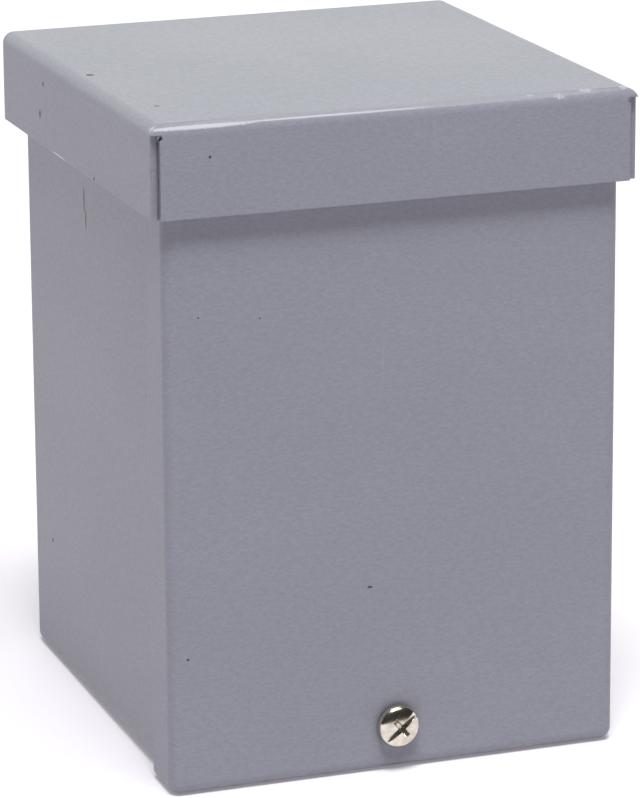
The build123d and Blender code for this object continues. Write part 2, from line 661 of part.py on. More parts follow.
for place, bar_x in bar_places.items():
    with BuildPart() as ground_screw:
        ground_head_back = bar_bore_y - bar_wire_diameter / 2 - bar_screw_length
        ground_head_front = ground_head_back - bar_screw_head_height
        turned(bar_screw_head / 2, bar_screw_head_height, ground_head_front, bar_x, bar_center_z)
        fillet(ground_screw.edges().filter_by(GeomType.CIRCLE).sort_by(Axis.Y)[0],
               bar_screw_edge)
        turned(bar_screw_diameter / 2, bar_screw_length, ground_head_back, bar_x, bar_center_z)
        block(bar_screw_head, screw_slot_width, ground_head_front,
              ground_head_front + bar_screw_slot_depth, bar_x, bar_center_z, Mode.SUBTRACT)
    ground_screw.part.label = f"ground_screw_{place}"
    export_step(ground_screw.part, f"parts/ground_screw_{place}.step")

with BuildPart() as bond_screw:
    bond_head_front = bar_front - bond_screw_head_height
    with BuildSketch(Plane.XZ.offset(-bar_front)):
        with Locations((0, bar_center_z)):
            RegularPolygon(bond_screw_head / 2, 6)
    extrude(amount=bond_screw_head_height)
    chamfer(bond_screw.faces().sort_by(Axis.Y)[0].edges(), bond_screw_edge)
    turned(bond_screw_diameter / 2, bar_depth + sheet, bar_front, 0, bar_center_z)
    block(bond_screw_head, screw_slot_width, bond_head_front,
          bond_head_front + bond_screw_slot_depth, 0, bar_center_z, Mode.SUBTRACT)
bond_screw.part.label = "bond_screw"
export_step(bond_screw.part, "parts/bond_screw.step")
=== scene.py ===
import bpy
import bmesh
import json
import math
from mathutils import Matrix, Vector


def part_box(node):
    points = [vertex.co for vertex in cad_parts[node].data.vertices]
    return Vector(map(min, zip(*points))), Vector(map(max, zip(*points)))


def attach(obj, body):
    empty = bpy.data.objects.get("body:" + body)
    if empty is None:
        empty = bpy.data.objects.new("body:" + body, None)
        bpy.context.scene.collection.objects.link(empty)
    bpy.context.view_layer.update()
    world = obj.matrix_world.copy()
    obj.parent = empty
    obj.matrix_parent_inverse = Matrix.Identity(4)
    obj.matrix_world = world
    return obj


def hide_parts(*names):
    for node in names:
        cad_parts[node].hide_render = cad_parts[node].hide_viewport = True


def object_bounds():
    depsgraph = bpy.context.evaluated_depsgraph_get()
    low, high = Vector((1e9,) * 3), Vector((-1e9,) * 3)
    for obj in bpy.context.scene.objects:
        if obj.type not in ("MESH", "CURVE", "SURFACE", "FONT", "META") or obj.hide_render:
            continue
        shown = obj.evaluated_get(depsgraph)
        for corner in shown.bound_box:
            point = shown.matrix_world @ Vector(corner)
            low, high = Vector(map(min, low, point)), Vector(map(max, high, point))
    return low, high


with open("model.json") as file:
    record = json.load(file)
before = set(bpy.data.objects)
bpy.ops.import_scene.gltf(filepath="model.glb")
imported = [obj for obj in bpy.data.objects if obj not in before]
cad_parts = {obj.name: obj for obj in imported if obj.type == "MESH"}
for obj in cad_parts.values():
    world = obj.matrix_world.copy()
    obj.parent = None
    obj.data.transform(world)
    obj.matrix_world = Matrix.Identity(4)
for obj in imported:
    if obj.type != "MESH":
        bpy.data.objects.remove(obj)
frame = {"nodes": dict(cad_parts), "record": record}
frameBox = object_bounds()
nodes = frame["nodes"]
mm = 0.001
print("disconnect box: frame loaded,", len(nodes), "parts")


# ---- small helpers for node trees

def put(tree, kind, options=None, inputs=None):
    # adds one shader node; inputs may be plain values or sockets to link from
    node = tree.nodes.new("ShaderNode" + kind)
    for key, value in (options or {}).items():
        setattr(node, key, value)
    wire(tree, node, inputs or {})
    return node


def wire(tree, node, inputs):
    for key, value in inputs.items():
        if isinstance(value, bpy.types.NodeSocket):
            tree.links.new(value, node.inputs[key])
        else:
            node.inputs[key].default_value = value


def calc(tree, operation, first, second=0.5, third=0.5, clamp=False):
    options = {"operation": operation, "use_clamp": clamp}
    return put(tree, "Math", options, {0: first, 1: second, 2: third}).outputs[0]


def vectorCalc(tree, operation, first, second, output=0):
    return put(tree, "VectorMath", {"operation": operation}, {0: first, 1: second}).outputs[output]


def ramp(tree, value, fromLow, fromHigh, toLow=0.0, toHigh=1.0):
    # smooth step between two levels
    options = {"interpolation_type": "SMOOTHSTEP"}
    inputs = {"Value": value, "From Min": fromLow, "From Max": fromHigh, "To Min": toLow, "To Max": toHigh}
    return put(tree, "MapRange", options, inputs).outputs["Result"]


def mixColour(tree, factor, first, second):
    return put(tree, "Mix", {"data_type": "RGBA"}, {0: factor, 6: first, 7: second}).outputs[2]


def noise(tree, vector, size, detail=2.0, roughness=0.5):
    # size is the width of one blotch in metres
    linked = isinstance(size, bpy.types.NodeSocket)
    scale = calc(tree, "DIVIDE", 1.0, size) if linked else 1.0 / size
    inputs = {"Vector": vector, "Scale": scale, "Detail": detail, "Roughness": roughness}
    return put(tree, "TexNoise", None, inputs).outputs["Fac"]


def makeGroup(name, inputs, outputs):
    tree = bpy.data.node_groups.new(name, "ShaderNodeTree")
    for label, kind, value in inputs:
        socket = tree.interface.new_socket(name=label, in_out="INPUT", socket_type="NodeSocket" + kind)
        if value is not None:
            socket.default_value = value
    for label, kind in outputs:
        tree.interface.new_socket(name=label, in_out="OUTPUT", socket_type="NodeSocket" + kind)
    return tree, tree.nodes.new("NodeGroupInput").outputs, tree.nodes.new("NodeGroupOutput").inputs


def useGroup(tree, group, inputs):
    node = tree.nodes.new("ShaderNodeGroup")
    node.node_tree = group
    wire(tree, node, inputs)
    return node.outputs


# ---- shared surface effects

effectSettings = {
    "grainShare": 0.6, "peelShare": 0.4,          # how much of each shows in the skin's tone
    "cloudSize": 30 * mm,                         # width of slow changes in tone
    "edgeTurn": (0.995, 0.86),                    # cosine of the rounding, from no wear to full wear
    "edgePatch": (0.38, 0.62),                    # noise levels, from whole edge to worn edge
    "markFade": (1.1, 0.7),                       # in radii, from outside to inside
    "markNoise": 0.7,                             # size of its ragged bumps, in radii
    "scratchLevel": 0.5, "scratchPatch": 1.6,     # noise level of the lines, and size of their patches
    "scratchLimit": (0.75, 0.8),                  # noise levels that a patch of lines lies between
    "scratchSpread": 0.4,                         # how far a larger share lowers the first of them
    "cornerShade": (0.85, 0.25),                  # openness, from clean to full grime and painted shade
    "cornerPatch": (0.2, 0.7, 0.4, 1.0),          # noise level from and to, then the strength of the grime and painted shade
    "samples": 6,
}


def buildSprayedSkin():
    # sprayed or moulded skin: slow dimples and a fine grain over them
    inputs = [("Vector", "Vector", None), ("Peel Size", "Float", 1.2 * mm), ("Grain Size", "Float", 0.3 * mm),
              ("Peel Depth", "Float", 0.01 * mm), ("Grain Depth", "Float", 0.003 * mm)]
    outputs = [("Height", "Float"), ("Tone", "Float"), ("Cloud", "Float")]
    want = effectSettings
    tree, given, made = makeGroup("sprayedSkin", inputs, outputs)
    peel = noise(tree, given["Vector"], given["Peel Size"], detail=1.5)
    grain = noise(tree, given["Vector"], given["Grain Size"], detail=3.0, roughness=0.6)
    peelHeight = calc(tree, "MULTIPLY", peel, given["Peel Depth"])
    tree.links.new(calc(tree, "MULTIPLY_ADD", grain, given["Grain Depth"], peelHeight), made["Height"])
    peelTone = calc(tree, "MULTIPLY", peel, want["peelShare"])
    tree.links.new(calc(tree, "MULTIPLY_ADD", grain, want["grainShare"], peelTone), made["Tone"])
    tree.links.new(noise(tree, given["Vector"], want["cloudSize"]), made["Cloud"])
    return tree


def buildEdgeWearAndHighlight():
    # rounds sharp edges in the shading and marks them for wear, broken up by noise; on the paint the mark is
    # also a painted edge highlight
    inputs = [("Vector", "Vector", None), ("Radius", "Float", 0.3 * mm), ("Breakup Size", "Float", 2 * mm),
              ("Breakup", "Float", 0.5)]
    want = effectSettings
    tree, given, made = makeGroup("edgeWearAndHighlight", inputs, [("Mask", "Float"), ("Normal", "Vector")])
    rounded = put(tree, "Bevel", {"samples": want["samples"]}, {"Radius": given["Radius"]}).outputs["Normal"]
    flat = put(tree, "NewGeometry").outputs["Normal"]
    turned = vectorCalc(tree, "DOT_PRODUCT", rounded, flat, "Value")
    edge = ramp(tree, turned, *want["edgeTurn"])
    patch = noise(tree, given["Vector"], given["Breakup Size"], detail=3.0)
    broken = ramp(tree, patch, *want["edgePatch"])
    kept = calc(tree, "SUBTRACT", 1.0, given["Breakup"])
    share = calc(tree, "MULTIPLY_ADD", broken, given["Breakup"], kept, clamp=True)
    tree.links.new(calc(tree, "MULTIPLY", edge, share), made["Mask"])
    tree.links.new(rounded, made["Normal"])
    return tree


def buildSpecks():
    # a few small dots, at most one in each cell
    inputs = [("Vector", "Vector", None), ("Spacing", "Float", 9 * mm), ("Size", "Float", 0.25 * mm),
              ("Share", "Float", 0.2)]
    tree, given, made = makeGroup("specks", inputs, [("Mask", "Float")])
    scale = calc(tree, "DIVIDE", 1.0, given["Spacing"])
    cell = put(tree, "TexVoronoi", None, {"Vector": given["Vector"], "Scale": scale})
    reach = calc(tree, "DIVIDE", given["Size"], given["Spacing"])
    dot = calc(tree, "LESS_THAN", cell.outputs["Distance"], reach)
    draw = put(tree, "SeparateColor", None, {0: cell.outputs["Color"]}).outputs[0]
    chosen = calc(tree, "LESS_THAN", draw, given["Share"])
    tree.links.new(calc(tree, "MULTIPLY", dot, chosen), made["Mask"])
    return tree


def buildMark():
    # one ragged mark round a chosen place
    inputs = [("Vector", "Vector", None), ("Place", "Vector", None), ("Stretch", "Vector", (1.0, 1.0, 1.0)),
              ("Size", "Float", 0.4 * mm), ("Ragged", "Float", 0.5)]
    want = effectSettings
    tree, given, made = makeGroup("mark", inputs, [("Mask", "Float")])
    offset = vectorCalc(tree, "SUBTRACT", given["Vector"], given["Place"])
    away = put(tree, "VectorMath", {"operation": "LENGTH"},
               {0: vectorCalc(tree, "MULTIPLY", offset, given["Stretch"])}).outputs["Value"]
    relative = calc(tree, "DIVIDE", away, given["Size"])
    rough = noise(tree, given["Vector"], calc(tree, "MULTIPLY", given["Size"], want["markNoise"]), detail=3.0)
    uneven = calc(tree, "MULTIPLY_ADD", calc(tree, "SUBTRACT", rough, 0.5), given["Ragged"], relative)
    tree.links.new(ramp(tree, uneven, *want["markFade"]), made["Mask"])
    return tree


def buildBrushing():
    # fine lines along one axis, as drawn, rolled or brushed metal has
    inputs = [("Vector", "Vector", None), ("Stretch", "Vector", (1.0, 1.0, 0.03)),
              ("Line Size", "Float", 0.25 * mm), ("Depth", "Float", 0.002 * mm)]
    tree, given, made = makeGroup("brushing", inputs, [("Height", "Float"), ("Tone", "Float")])
    along = vectorCalc(tree, "MULTIPLY", given["Vector"], given["Stretch"])
    lines = noise(tree, along, given["Line Size"], detail=4.0, roughness=0.65)
    tree.links.new(calc(tree, "MULTIPLY", lines, given["Depth"]), made["Height"])
    tree.links.new(lines, made["Tone"])
    return tree


def buildScratches():
    # thin hairlines in scattered patches
    inputs = [("Vector", "Vector", None), ("Stretch", "Vector", (1.0, 1.0, 0.2)), ("Size", "Float", 8 * mm),
              ("Width", "Float", 0.004), ("Share", "Float", 0.3)]
    want = effectSettings
    tree, given, made = makeGroup("scratches", inputs, [("Mask", "Float")])
    along = vectorCalc(tree, "MULTIPLY", given["Vector"], given["Stretch"])
    waves = noise(tree, along, given["Size"], detail=0.5)
    line = calc(tree, "COMPARE", waves, want["scratchLevel"], given["Width"])
    patchSize = calc(tree, "MULTIPLY", given["Size"], want["scratchPatch"])
    patch = noise(tree, given["Vector"], patchSize, detail=1.0)
    lowest, highest = want["scratchLimit"]
    spread = calc(tree, "MULTIPLY", given["Share"], want["scratchSpread"])
    limit = calc(tree, "SUBTRACT", lowest, spread)
    tree.links.new(calc(tree, "MULTIPLY", line, ramp(tree, patch, limit, highest)), made["Mask"])
    return tree


def buildGrimeAndShade():
    # dust and shade that gather in corners
    inputs = [("Vector", "Vector", None), ("Reach", "Float", 4 * mm), ("Patch Size", "Float", 5 * mm)]
    want = effectSettings
    tree, given, made = makeGroup("grimeAndShade", inputs, [("Mask", "Float")])
    openness = put(tree, "AmbientOcclusion", {"samples": want["samples"]},
                   {"Distance": given["Reach"]}).outputs["AO"]
    corner = ramp(tree, openness, *want["cornerShade"])
    patch = noise(tree, given["Vector"], given["Patch Size"], detail=4.0)
    tree.links.new(calc(tree, "MULTIPLY", corner, ramp(tree, patch, *want["cornerPatch"])), made["Mask"])
    return tree


sprayedSkin = buildSprayedSkin()
edgeWearAndHighlight = buildEdgeWearAndHighlight()
specks = buildSpecks()
mark = buildMark()
brushing = buildBrushing()
scratches = buildScratches()
grimeAndShade = buildGrimeAndShade()
print("disconnect box: surface effects built")


# ---- materials

def newMaterial(name, constants):
    material = bpy.data.materials.new(name)
    material.use_nodes = True
    tree = material.node_tree
    tree.nodes.clear()
    shader = put(tree, "BsdfPrincipled", None, constants)
    put(tree, "OutputMaterial", None, {"Surface": shader.outputs["BSDF"]})
    place = put(tree, "TexCoord").outputs["Object"]
    return material, tree, shader, place


def bump(tree, height, normal):
    return put(tree, "Bump", None, {"Height": height, "Normal": normal, "Distance": 1.0}).outputs["Normal"]


even, level, upright = (1.0, 1.0, 1.0), (0.4, 0.4, 1.0), (1.0, 1.0, 0.13)
hoodLow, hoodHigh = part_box("drip_hood")
coverLow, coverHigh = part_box("front_cover")
bodyLow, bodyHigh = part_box("enclosure_body")
# faces that the marks lie on, in millimetres
coverFace, hoodFace, roof = coverLow.y / mm, hoodLow.y / mm, hoodHigh.z / mm
hoodSide, bodySide, hoodEdge = hoodLow.x / mm, bodyLow.x / mm, hoodLow.z / mm
paintSettings = {
    "colour": (0.275, 0.281, 0.325, 1),
    "wornAndHighlight": (0.66, 0.67, 0.71, 1),          # rubbed paint, almost polished; also the colour of the painted highlights and the painted lit band along the fold
    "thinAndHighlight": (0.40, 0.405, 0.45, 1),         # thinner coat on the cut edges, partly a painted edge highlight
    # dark colour of chips, specks, dirt and the painted shade in corners
    "dirtAndShade": (0.035, 0.032, 0.040, 1),
    "shader": {"IOR": 1.5, "Specular IOR Level": 0.25, "Coat Weight": 0.15, "Coat Roughness": 0.12,
               "Coat IOR": 1.5},
    "sprayStretch": (0.5, 0.5, 1.0),        # the spray's grain lies level
    "skin": {"Peel Size": 0.75 * mm, "Grain Size": 0.30 * mm, "Peel Depth": 0.006 * mm,
             "Grain Depth": 0.006 * mm},
    "edge": {"Radius": 0.28 * mm, "Breakup Size": 3 * mm, "Breakup": 0.55},
    "dots": {"Spacing": 19 * mm, "Size": 0.2 * mm, "Share": 0.25},
    "hairlines": {"Size": 14 * mm, "Width": 0.0025, "Share": 0.35},
    "grimeAndShade": {"Reach": 3 * mm, "Patch Size": 4 * mm},
    # noise level from and to, then what it becomes
    "grainTone": (0.25, 0.75, 0.89, 1.11),
    "cloudTone": (0.3, 0.7, 0.98, 1.02),
    "cloudRoughness": (0.3, 0.7, 0.47, 0.54),
    # how far each effect goes towards its own colour
    "edgeShare": 0.6, "hairlineShare": 0.25, "grimeAndShadeShare": 0.3, "dotShare": 0.7, "spotShare": 0.9,
    "highlightStreakShare": 0.7, "rubShare": 0.5, "litFoldShare": 0.23,
    "streakPolish": -0.25, "spotRoughness": 0.2,
    # how uneven the outlines of the marks are
    "raggedChips": 0.8, "raggedStreaks": 0.7, "raggedRubs": 2.0, "raggedPale": 0.3,
    # chips down to the primer: place and radius in millimetres, and shape
    "chips": [((-44.7, coverFace, 107.1), 0.22, even), ((-30.9, coverFace, 105.8), 0.20, even),
              ((-6.1, coverFace, 42.8), 0.28, level), ((-48.1, coverFace, 31.1), 0.34, even),
              ((-42.5, hoodFace, 142.4), 0.36, even), ((-51.1, 1.4, roof), 0.62, (0.6, 0.6, 1.0)),
              ((-47.6, -35.6, roof), 0.5, (0.6, 1.0, 1.0)), ((hoodSide, 24.3, 143.7), 0.6, even),
              ((hoodSide, 27.3, 136.3), 0.62, (1.0, 1.0, 0.6)), ((hoodSide, -13.7, 129.9), 0.5, even),
              ((bodySide, 10.1, 119.7), 0.42, upright), ((bodySide, 9.0, 115.5), 0.36, upright),
              ((bodySide, 41.3, 31.0), 0.6, even)],
    # painted highlights along the hood's front fold, drawn as polished streaks, and a painted glint on the
    # side flange's lower edge
    "highlightStreaks": [((-44.5, hoodFace + 0.7, roof - 0.85), 0.60, (0.046, 1.0, 1.0)),
                ((-15.0, hoodFace + 0.9, roof - 0.7), 0.27, (0.0105, 1.0, 1.0)),
                ((hoodSide, 13.0, hoodEdge), 0.35, (1.0, 0.06, 1.0))],
    # painted light: the upper half of the hood's front fold is painted paler, as if lit like the top
    "paintedLitFold": [((0.0, hoodFace + 1.46, roof - 0.26), 1.11, (0.018, 1.0, 1.0))],
    # faint rubs towards the fold's ends
    "rubs": [((43.5, hoodFace + 2.05, roof - 0.1), 1.0, (0.6, 1.0, 1.0)),
             ((37.0, hoodFace + 1.25, roof - 0.9), 0.8, (0.5, 1.0, 1.0)),
             ((52.6, hoodFace + 2.25, roof - 0.2), 1.1, even),
             ((-54.3, hoodFace + 2.05, roof - 1.2), 1.0, even),
             ((30.5, hoodFace + 1.75, roof - 0.4), 0.6, (0.5, 1.0, 1.0))],
}


def addMarks(tree, place, marks, ragged):
    # the strongest of several marks
    total = None
    for spot, size, stretch in marks:
        inputs = {"Vector": place, "Place": [value * mm for value in spot], "Stretch": stretch,
                  "Size": size * mm, "Ragged": ragged}
        mask = useGroup(tree, mark, inputs)["Mask"]
        total = mask if total is None else calc(tree, "MAXIMUM", total, mask)
    return total


def buildPaint(name):
    # grey-violet satin powder coat with a few chips and rubbed spots, painted highlights and a painted lit
    # band along the hood's front fold, paler edges that are partly a painted highlight, and painted shade
    # with the dirt in corners
    want = paintSettings
    material, tree, shader, place = newMaterial(name, want["shader"])
    laid = vectorCalc(tree, "MULTIPLY", place, want["sprayStretch"])
    skin = useGroup(tree, sprayedSkin, {"Vector": laid, **want["skin"]})
    edge = useGroup(tree, edgeWearAndHighlight, {"Vector": place, **want["edge"]})
    dots = useGroup(tree, specks, {"Vector": place, **want["dots"]})
    hairlines = useGroup(tree, scratches, {"Vector": place, **want["hairlines"]})
    dirtAndShade = useGroup(tree, grimeAndShade, {"Vector": place, **want["grimeAndShade"]})
    grain = ramp(tree, skin["Tone"], *want["grainTone"])
    cloud = ramp(tree, skin["Cloud"], *want["cloudTone"])
    tone = calc(tree, "MULTIPLY", grain, cloud)
    # edges go paler: a thinner coat and a painted edge highlight
    edgeShare = calc(tree, "MULTIPLY", edge["Mask"], want["edgeShare"])
    edged = mixColour(tree, edgeShare, want["colour"], want["thinAndHighlight"])
    shaded = put(tree, "VectorMath", {"operation": "SCALE"}, {0: edged, "Scale": tone}).outputs[0]
    lineShare = calc(tree, "MULTIPLY", hairlines["Mask"], want["hairlineShare"])
    lined = mixColour(tree, lineShare, shaded, want["thinAndHighlight"])
    # corners and recesses darken towards the dark colour: dirt and painted shade
    dirtAndShadeShare = calc(tree, "MULTIPLY", dirtAndShade["Mask"], want["grimeAndShadeShare"])
    dustyAndShaded = mixColour(tree, dirtAndShadeShare, lined, want["dirtAndShade"])
    # painted highlights along the front fold, drawn as polished streaks
    highlightStreaks = addMarks(tree, place, want["highlightStreaks"], want["raggedStreaks"])
    highlightStreak = calc(tree, "MULTIPLY", highlightStreaks, want["highlightStreakShare"])
    rubs = addMarks(tree, place, want["rubs"], want["raggedRubs"])
    faint = calc(tree, "MULTIPLY", rubs, want["rubShare"])
    # painted light: the upper fold is paler, as lit as the top
    litFoldMarks = addMarks(tree, place, want["paintedLitFold"], want["raggedPale"])
    pale = calc(tree, "MULTIPLY", litFoldMarks, want["litFoldShare"])
    rubbedAndHighlitShare = calc(tree, "MAXIMUM", highlightStreak, calc(tree, "MAXIMUM", faint, pale))
    rubbedAndHighlit = mixColour(tree, rubbedAndHighlitShare, dustyAndShaded, want["wornAndHighlight"])
    chips = addMarks(tree, place, want["chips"], want["raggedChips"])
    spots = calc(tree, "MAXIMUM", calc(tree, "MULTIPLY", dots["Mask"], want["dotShare"]), chips)
    gloss = ramp(tree, skin["Cloud"], *want["cloudRoughness"])
    polished = calc(tree, "MULTIPLY_ADD", highlightStreak, want["streakPolish"], gloss)
    raised = bump(tree, skin["Height"], edge["Normal"])
    spotShare = calc(tree, "MULTIPLY", spots, want["spotShare"])
    wire(tree, shader, {
        "Base Color": mixColour(tree, spotShare, rubbedAndHighlit, want["dirtAndShade"]),
        "Roughness": calc(tree, "MULTIPLY_ADD", spots, want["spotRoughness"], polished),
        "Normal": raised,
    })
    return material


drawnAlongY, drawnAlongZ = (1.0, 0.03, 1.0), (1.0, 1.0, 0.03)
metalSettings = {
    "shader": {"Metallic": 1.0, "IOR": 1.5},
    "lineSize": 0.12 * mm,
    "edge": {"Breakup Size": 1.5 * mm, "Breakup": 0.4},
    "grimeAndShade": {"Reach": 1.5 * mm, "Patch Size": 1.5 * mm},
    "mottleSize": 2.2 * mm,
    "mottleTone": (0.35, 0.7),
    "lineTone": (0.35, 0.75, 0.0, 0.35),
    "mottleLevels": (0.3, 0.7), "roughnessRange": (0.8, 1.25),
    "grimeAndShadeColour": (0.05, 0.045, 0.04, 1), "grimeAndShadeShare": 0.6, "grimeRoughness": 0.2, "edgeShare": 0.5,
}


def buildMetal(name, colour, shade, roughness, edgeRadius, stretch, depth):
    # plated or bare metal with drawn lines, handling marks, a polished edge, and grime that darkens the
    # corners as painted shade
    want = metalSettings
    material, tree, shader, place = newMaterial(name, want["shader"])
    lines = useGroup(tree, brushing, {"Vector": place, "Stretch": stretch, "Line Size": want["lineSize"],
                                      "Depth": depth})
    edge = useGroup(tree, edgeWearAndHighlight, {"Vector": place, "Radius": edgeRadius, **want["edge"]})
    dirtAndShade = useGroup(tree, grimeAndShade, {"Vector": place, **want["grimeAndShade"]})
    mottle = noise(tree, place, want["mottleSize"], detail=4.0, roughness=0.6)
    mixed = mixColour(tree, ramp(tree, mottle, *want["mottleTone"]), colour, shade)
    lined = mixColour(tree, ramp(tree, lines["Tone"], *want["lineTone"]), mixed, shade)
    # corners darken: grime and painted shade
    dirtAndShadeShare = calc(tree, "MULTIPLY", dirtAndShade["Mask"], want["grimeAndShadeShare"])
    dark = mixColour(tree, dirtAndShadeShare, lined, want["grimeAndShadeColour"])
    smoothest, roughest = (roughness * times for times in want["roughnessRange"])
    rough = ramp(tree, mottle, *want["mottleLevels"], smoothest, roughest)
    edgeShare = calc(tree, "MULTIPLY", edge["Mask"], want["edgeShare"])
    wire(tree, shader, {
        "Base Color": mixColour(tree, edgeShare, dark, colour),
        "Roughness": calc(tree, "MULTIPLY_ADD", dirtAndShade["Mask"], want["grimeRoughness"], rough),
        "Normal": bump(tree, lines["Height"], edge["Normal"]),
    })
    return material


mouldingSettings = {
    "shader": {"IOR": 1.5},
    "skin": {"Peel Size": 2.5 * mm, "Grain Size": 0.25 * mm, "Grain Depth": 0.003 * mm},
    "edge": {"Radius": 0.35 * mm, "Breakup Size": 2 * mm, "Breakup": 0.5},
    "grimeAndShade": {"Reach": 5 * mm, "Patch Size": 6 * mm},
    "flowStretch": (1.0, 1.0, 0.25), "swirlSize": 9 * mm,
    "swirlTone": (0.35, 0.7, 0.0, 0.18),
    "swirlLevels": (0.3, 0.7), "smoother": 0.06, "rougher": 0.08,
    "edgeShare": 0.22, "grimeAndShadeShare": 0.20, "grimeRoughness": 0.15,
}


def buildMoulding(name, colour, dust, roughness, peelDepth):
    # thermoset, sheet insulation or rubber: faint flow marks, soft edges, dust in the corners
    want = mouldingSettings
    material, tree, shader, place = newMaterial(name, want["shader"])
    skin = useGroup(tree, sprayedSkin, {"Vector": place, "Peel Depth": peelDepth, **want["skin"]})
    edge = useGroup(tree, edgeWearAndHighlight, {"Vector": place, **want["edge"]})
    dirtAndShade = useGroup(tree, grimeAndShade, {"Vector": place, **want["grimeAndShade"]})
    flow = vectorCalc(tree, "MULTIPLY", place, want["flowStretch"])
    swirl = noise(tree, flow, want["swirlSize"], detail=3.0, roughness=0.55)
    base = mixColour(tree, ramp(tree, swirl, *want["swirlTone"]), colour, dust)
    edgeShare = calc(tree, "MULTIPLY", edge["Mask"], want["edgeShare"])
    pale = mixColour(tree, edgeShare, base, dust)
    gloss = ramp(tree, swirl, *want["swirlLevels"], roughness - want["smoother"], roughness + want["rougher"])
    dirtAndShadeShare = calc(tree, "MULTIPLY", dirtAndShade["Mask"], want["grimeAndShadeShare"])
    wire(tree, shader, {
        "Base Color": mixColour(tree, dirtAndShadeShare, pale, dust),
        "Roughness": calc(tree, "MULTIPLY_ADD", dirtAndShade["Mask"], want["grimeRoughness"], gloss),
        "Normal": bump(tree, skin["Height"], edge["Normal"]),
    })
    return material


# for each material slot: name, colour, second colour, roughness, edge radius, lines and their depth
metals = {
    "nickel_screw": ("brightNickel", (0.80, 0.76, 0.66, 1), (0.58, 0.53, 0.43, 1), 0.17,
                     0.15 * mm, drawnAlongY, 0.0005 * mm),
    "zinc_steel": ("zincPlate", (0.66, 0.68, 0.70, 1), (0.48, 0.50, 0.52, 1), 0.33,
                   0.15 * mm, drawnAlongY, 0.001 * mm),
    "copper": ("rolledCopper", (0.80, 0.42, 0.27, 1), (0.52, 0.25, 0.15, 1), 0.30,
               0.2 * mm, drawnAlongY, 0.0015 * mm),
    "lug_aluminium": ("extrudedAluminium", (0.78, 0.79, 0.80, 1), (0.60, 0.61, 0.62, 1), 0.36,
                      0.25 * mm, drawnAlongZ, 0.003 * mm),
    "green_screw": ("greenDyedZinc", (0.05, 0.36, 0.13, 1), (0.03, 0.20, 0.08, 1), 0.34,
                    0.2 * mm, drawnAlongY, 0.001 * mm),
}
# for each material slot: name, colour, dust, roughness and depth of the dimples
mouldings = {
    "seal_rubber": ("blackRubber", (0.022, 0.022, 0.024, 1), (0.10, 0.10, 0.10, 1), 0.72, 0.006 * mm),
    "black_moulding": ("blackThermoset", (0.030, 0.030, 0.033, 1), (0.12, 0.12, 0.125, 1), 0.38, 0.010 * mm),
    "shield_plastic": ("greySheetInsulation", (0.42, 0.45, 0.48, 1), (0.58, 0.60, 0.62, 1), 0.42, 0.006 * mm),
}
finishes = {"enclosure_paint": buildPaint("greyPowderCoat")}
finishes.update({slot: buildMetal(*look) for slot, look in metals.items()})
finishes.update({slot: buildMoulding(*look) for slot, look in mouldings.items()})
slotOfNode = {part["node"]: part["material_slot"] for part in frame["record"]["subparts"]}
for name, part in nodes.items():
    for slot in part.material_slots:
        slot.material = finishes[slotOfNode[name]]
print("disconnect box:", len(finishes), "finishes on the parts")


# ---- turned and threaded screws

turningSettings = {
    "axisRadius": 1e-7,                  # a smaller ring is one vertex on the axis
    "rowsPerTurn": 8, "crest": 2.4,      # a larger crest makes a narrower thread
    "lift": 0.4 * mm,                    # the cutters start ahead of the head
    "across": 2.4,                       # length of a slot that runs out at both sides, in radii
    "flare": 1.25,                       # a cutter is that much longer than its slot where it starts
    "smoothAngle": 35, "cutSmoothAngle": 30,       # in degrees
}


def addRing(shape, centre, along, radius, steps):
    # one vertex on the axis, or a ring of them round it
    if radius < turningSettings["axisRadius"]:
        return [shape.verts.new(centre + Vector((0, along, 0)))]
    ring = []
    for step in range(steps):
        angle = 2 * math.pi * step / steps
        ring.append(shape.verts.new(centre + Vector((radius * math.cos(angle), along,
                                                     radius * math.sin(angle)))))
    return ring


def joinRings(shape, rings, steps):
    for near, far in zip(rings, rings[1:]):
        for step in range(steps):
            after = (step + 1) % steps
            corners = [near[step % len(near)], near[after % len(near)], far[after % len(far)],
                       far[step % len(far)]]
            unique = list(dict.fromkeys(corners))
            if len(unique) > 2:
                shape.faces.new(unique)


def threadRings(shape, centre, radius, want, start, end):
    # rings along Y that rise and fall along a helix and run out smooth at each end
    rowsPerTurn, crest = turningSettings["rowsPerTurn"], turningSettings["crest"]
    steps, pitch = want["steps"], want["pitch"]
    rows = int(abs(end - start) / pitch * rowsPerTurn)
    rings = []
    for row in range(rows + 1):
        along = start + (end - start) * row / rows
        fade = min(1.0, row / rowsPerTurn, (rows - row) / rowsPerTurn)
        ring = addRing(shape, centre, along, radius, steps)
        for step, vertex in enumerate(ring):
            phase = ((along - start) / pitch - step / steps) % 1.0
            rise = max(0.0, 1.0 - abs(phase - 0.5) * crest)
            inwards = want["threadDepth"] * (1 - rise) * fade / radius
            vertex.co -= (vertex.co - centre - Vector((0, along, 0))) * inwards
        rings.append(ring)
    return rings


def finishMesh(name, shape, finish):
    bmesh.ops.recalc_face_normals(shape, faces=shape.faces)
    sharpenEdges(shape, turningSettings["smoothAngle"])
    mesh = bpy.data.meshes.new(name)
    shape.to_mesh(mesh)
    shape.free()
    piece = bpy.data.objects.new(name, mesh)
    bpy.context.scene.collection.objects.link(piece)
    mesh.materials.append(finish)
    return piece


def sharpenEdges(shape, smoothAngle):
    # edges between faces that meet at more than the angle, in degrees, stay sharp
    for face in shape.faces:
        face.smooth = True
    for edge in shape.edges:
        edge.smooth = len(edge.link_faces) != 2 or edge.calc_face_angle() < math.radians(smoothAngle)


